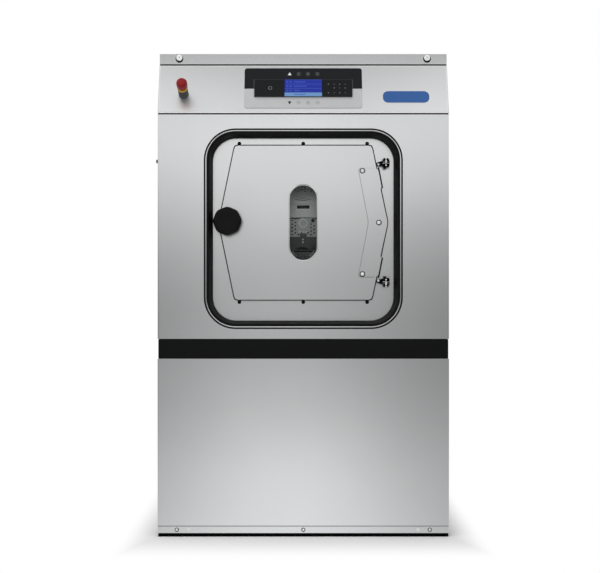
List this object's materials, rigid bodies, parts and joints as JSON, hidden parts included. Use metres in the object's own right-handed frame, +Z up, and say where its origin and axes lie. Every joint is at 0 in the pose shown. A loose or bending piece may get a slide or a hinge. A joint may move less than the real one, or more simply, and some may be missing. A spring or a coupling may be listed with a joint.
{
  "type": "barrier washer-extractor",
  "caption": "Side-loading stainless washing machine with sloped control panel, hexagonal loading door in a rubber-framed opening, and a suspended drum with inner flaps.",
  "frame": {"origin": "on the floor under the middle of the machine's box", "axes": "+Z up, -Y out of the loading side, +X to the right seen from the loading side"},
  "size_m": [0.991, 0.9948, 1.635],
  "materials": {
    "stainless_panel": "fine vertical satin",
    "frame_paint": "grey powder coat",
    "zinc": "bright zinc plate",
    "band_plastic": "black grained",
    "black_rubber": "matt black",
    "black_plastic": "black moulded",
    "fascia_film": "printed film",
    "screen_glass": "backlit blue",
    "red_plastic": "moulded",
    "yellow_plastic": "moulded",
    "grey_plastic": "moulded",
    "bright_steel": "polished",
    "window": "clear",
    "motor_paint": "dark blue",
    "cast_housing": "cast",
    "bearing_steel": "ground"
  },
  "bodies": {
    "cabinet": {"cabinet_frame": "frame_paint", "levelling_feet": "zinc", "front_upper_panel": "stainless_panel", "front_lower_panel": "stainless_panel", "rear_upper_panel": "stainless_panel", "rear_lower_panel": "stainless_panel", "upper_side_panels": "stainless_panel", "lower_side_panels": "stainless_panel", "belt_band": "band_plastic", "plinth_strips": "stainless_panel", "panel_screws": "zinc", "control_panel": "stainless_panel", "control_fascia": "fascia_film", "display_module": "black_plastic", "display_screen": "screen_glass", "estop_base": "grey_plastic", "estop_collar": "yellow_plastic", "door_trims": "bright_steel", "door_bellows": "black_rubber", "control_box": "frame_paint", "inlet_valves": "zinc", "drain_valve": "grey_plastic", "drain_hose": "black_rubber", "damper_cylinders": "frame_paint", "suspension_springs": "zinc"},
    "lid": {"top_cover": "stainless_panel"},
    "lock_left": {"lock_left": "bright_steel"},
    "lock_right": {"lock_right": "bright_steel"},
    "estop": {"estop_button": "red_plastic"},
    "tub": {"tub_shell": "stainless_panel", "tub_ends": "stainless_panel", "tub_plates": "stainless_panel", "plate_screws": "black_plastic", "hinge_brackets": "bright_steel", "bearing_housings": "cast_housing", "bearings": "bearing_steel", "tub_cradle": "frame_paint", "motor": "motor_paint", "drive_belt": "black_rubber", "damper_rods": "bearing_steel"},
    "drum": {"drum_shell": "stainless_panel", "drum_ends": "stainless_panel", "drum_lifters": "stainless_panel", "drum_shafts": "bearing_steel", "drum_pulley": "cast_housing"},
    "motor_rotor": {"motor_pulley": "cast_housing"},
    "flap_upper": {"flap_upper": "stainless_panel"},
    "flap_lower": {"flap_lower": "stainless_panel"},
    "drum_latch": {"drum_latch": "bright_steel"},
    "front_door": {"front_door_panel": "stainless_panel", "front_door_seal": "black_rubber", "front_window_glass": "window", "front_hinge_plate": "stainless_panel", "front_door_screws": "bright_steel"},
    "rear_door": {"rear_door_panel": "stainless_panel", "rear_door_seal": "black_rubber", "rear_window_glass": "window", "rear_hinge_plate": "stainless_panel"},
    "front_knob": {"front_knob": "black_plastic"},
    "rear_knob": {"rear_knob": "black_plastic"}
  },
  "joints": [
    {"name": "tub_float", "type": "slide", "parent": "cabinet", "child": "tub", "axis": [0, 0, 1], "range_m": [-0.01, 0.01], "stiffness_N_per_m": 200000, "springref_m": 0.01972, "deforming": ["suspension_springs", "drain_hose", "door_bellows"]},
    {"name": "drum_spin", "type": "hinge", "parent": "tub", "child": "drum", "pos_m": [0, 0, 1.058], "axis": [1, 0, 0], "continuous": true},
    {"name": "motor_spin", "type": "hinge", "parent": "tub", "child": "motor_rotor", "pos_m": [0, 0.19, 0.47], "axis": [1, 0, 0], "continuous": true},
    {"name": "flap_upper_swing", "type": "hinge", "parent": "drum", "child": "flap_upper", "pos_m": [0, -0.24325, 1.242], "axis": [1, 0, 0], "range_deg": [0, 75]},
    {"name": "flap_lower_swing", "type": "hinge", "parent": "drum", "child": "flap_lower", "pos_m": [0, -0.24325, 0.874], "axis": [-1, 0, 0], "range_deg": [0, 75]},
    {"name": "drum_latch_turn", "type": "hinge", "parent": "flap_lower", "child": "drum_latch", "pos_m": [0, -0.315, 1.058], "axis": [0, -1, 0], "range_deg": [0, 90]},
    {"name": "front_door_swing", "type": "hinge", "parent": "tub", "child": "front_door", "pos_m": [0.281, -0.381, 1.058], "axis": [0, 0, 1], "range_deg": [0, 100]},
    {"name": "front_knob_turn", "type": "hinge", "parent": "front_door", "child": "front_knob", "pos_m": [-0.256, -0.381, 1.061], "axis": [0, -1, 0], "range_deg": [0, 90]},
    {"name": "rear_door_swing", "type": "hinge", "parent": "tub", "child": "rear_door", "pos_m": [-0.281, 0.381, 1.058], "axis": [0, 0, 1], "range_deg": [0, 100]},
    {"name": "rear_knob_turn", "type": "hinge", "parent": "rear_door", "child": "rear_knob", "pos_m": [0.256, 0.381, 1.061], "axis": [0, 1, 0], "range_deg": [0, 90]},
    {"name": "lid_lift", "type": "hinge", "parent": "cabinet", "child": "lid", "pos_m": [0, 0.435, 1.5985], "axis": [-1, 0, 0], "range_deg": [0, 75]},
    {"name": "lock_left_turn", "type": "hinge", "parent": "lid", "child": "lock_left", "pos_m": [-0.423, -0.358, 1.62], "axis": [0, 1, 0], "range_deg": [0, 90]},
    {"name": "lock_right_turn", "type": "hinge", "parent": "lid", "child": "lock_right", "pos_m": [0.423, -0.358, 1.62], "axis": [0, -1, 0], "range_deg": [0, 90]},
    {"name": "estop_press", "type": "slide", "parent": "cabinet", "child": "estop", "axis": [0, 0.9414, -0.3374], "range_m": [0, 0.005], "stiffness_N_per_m": 1500}
  ],
  "couplings": [
    {"joint": "motor_spin", "follows": "drum_spin", "ratio": 4.2222}
  ]
}
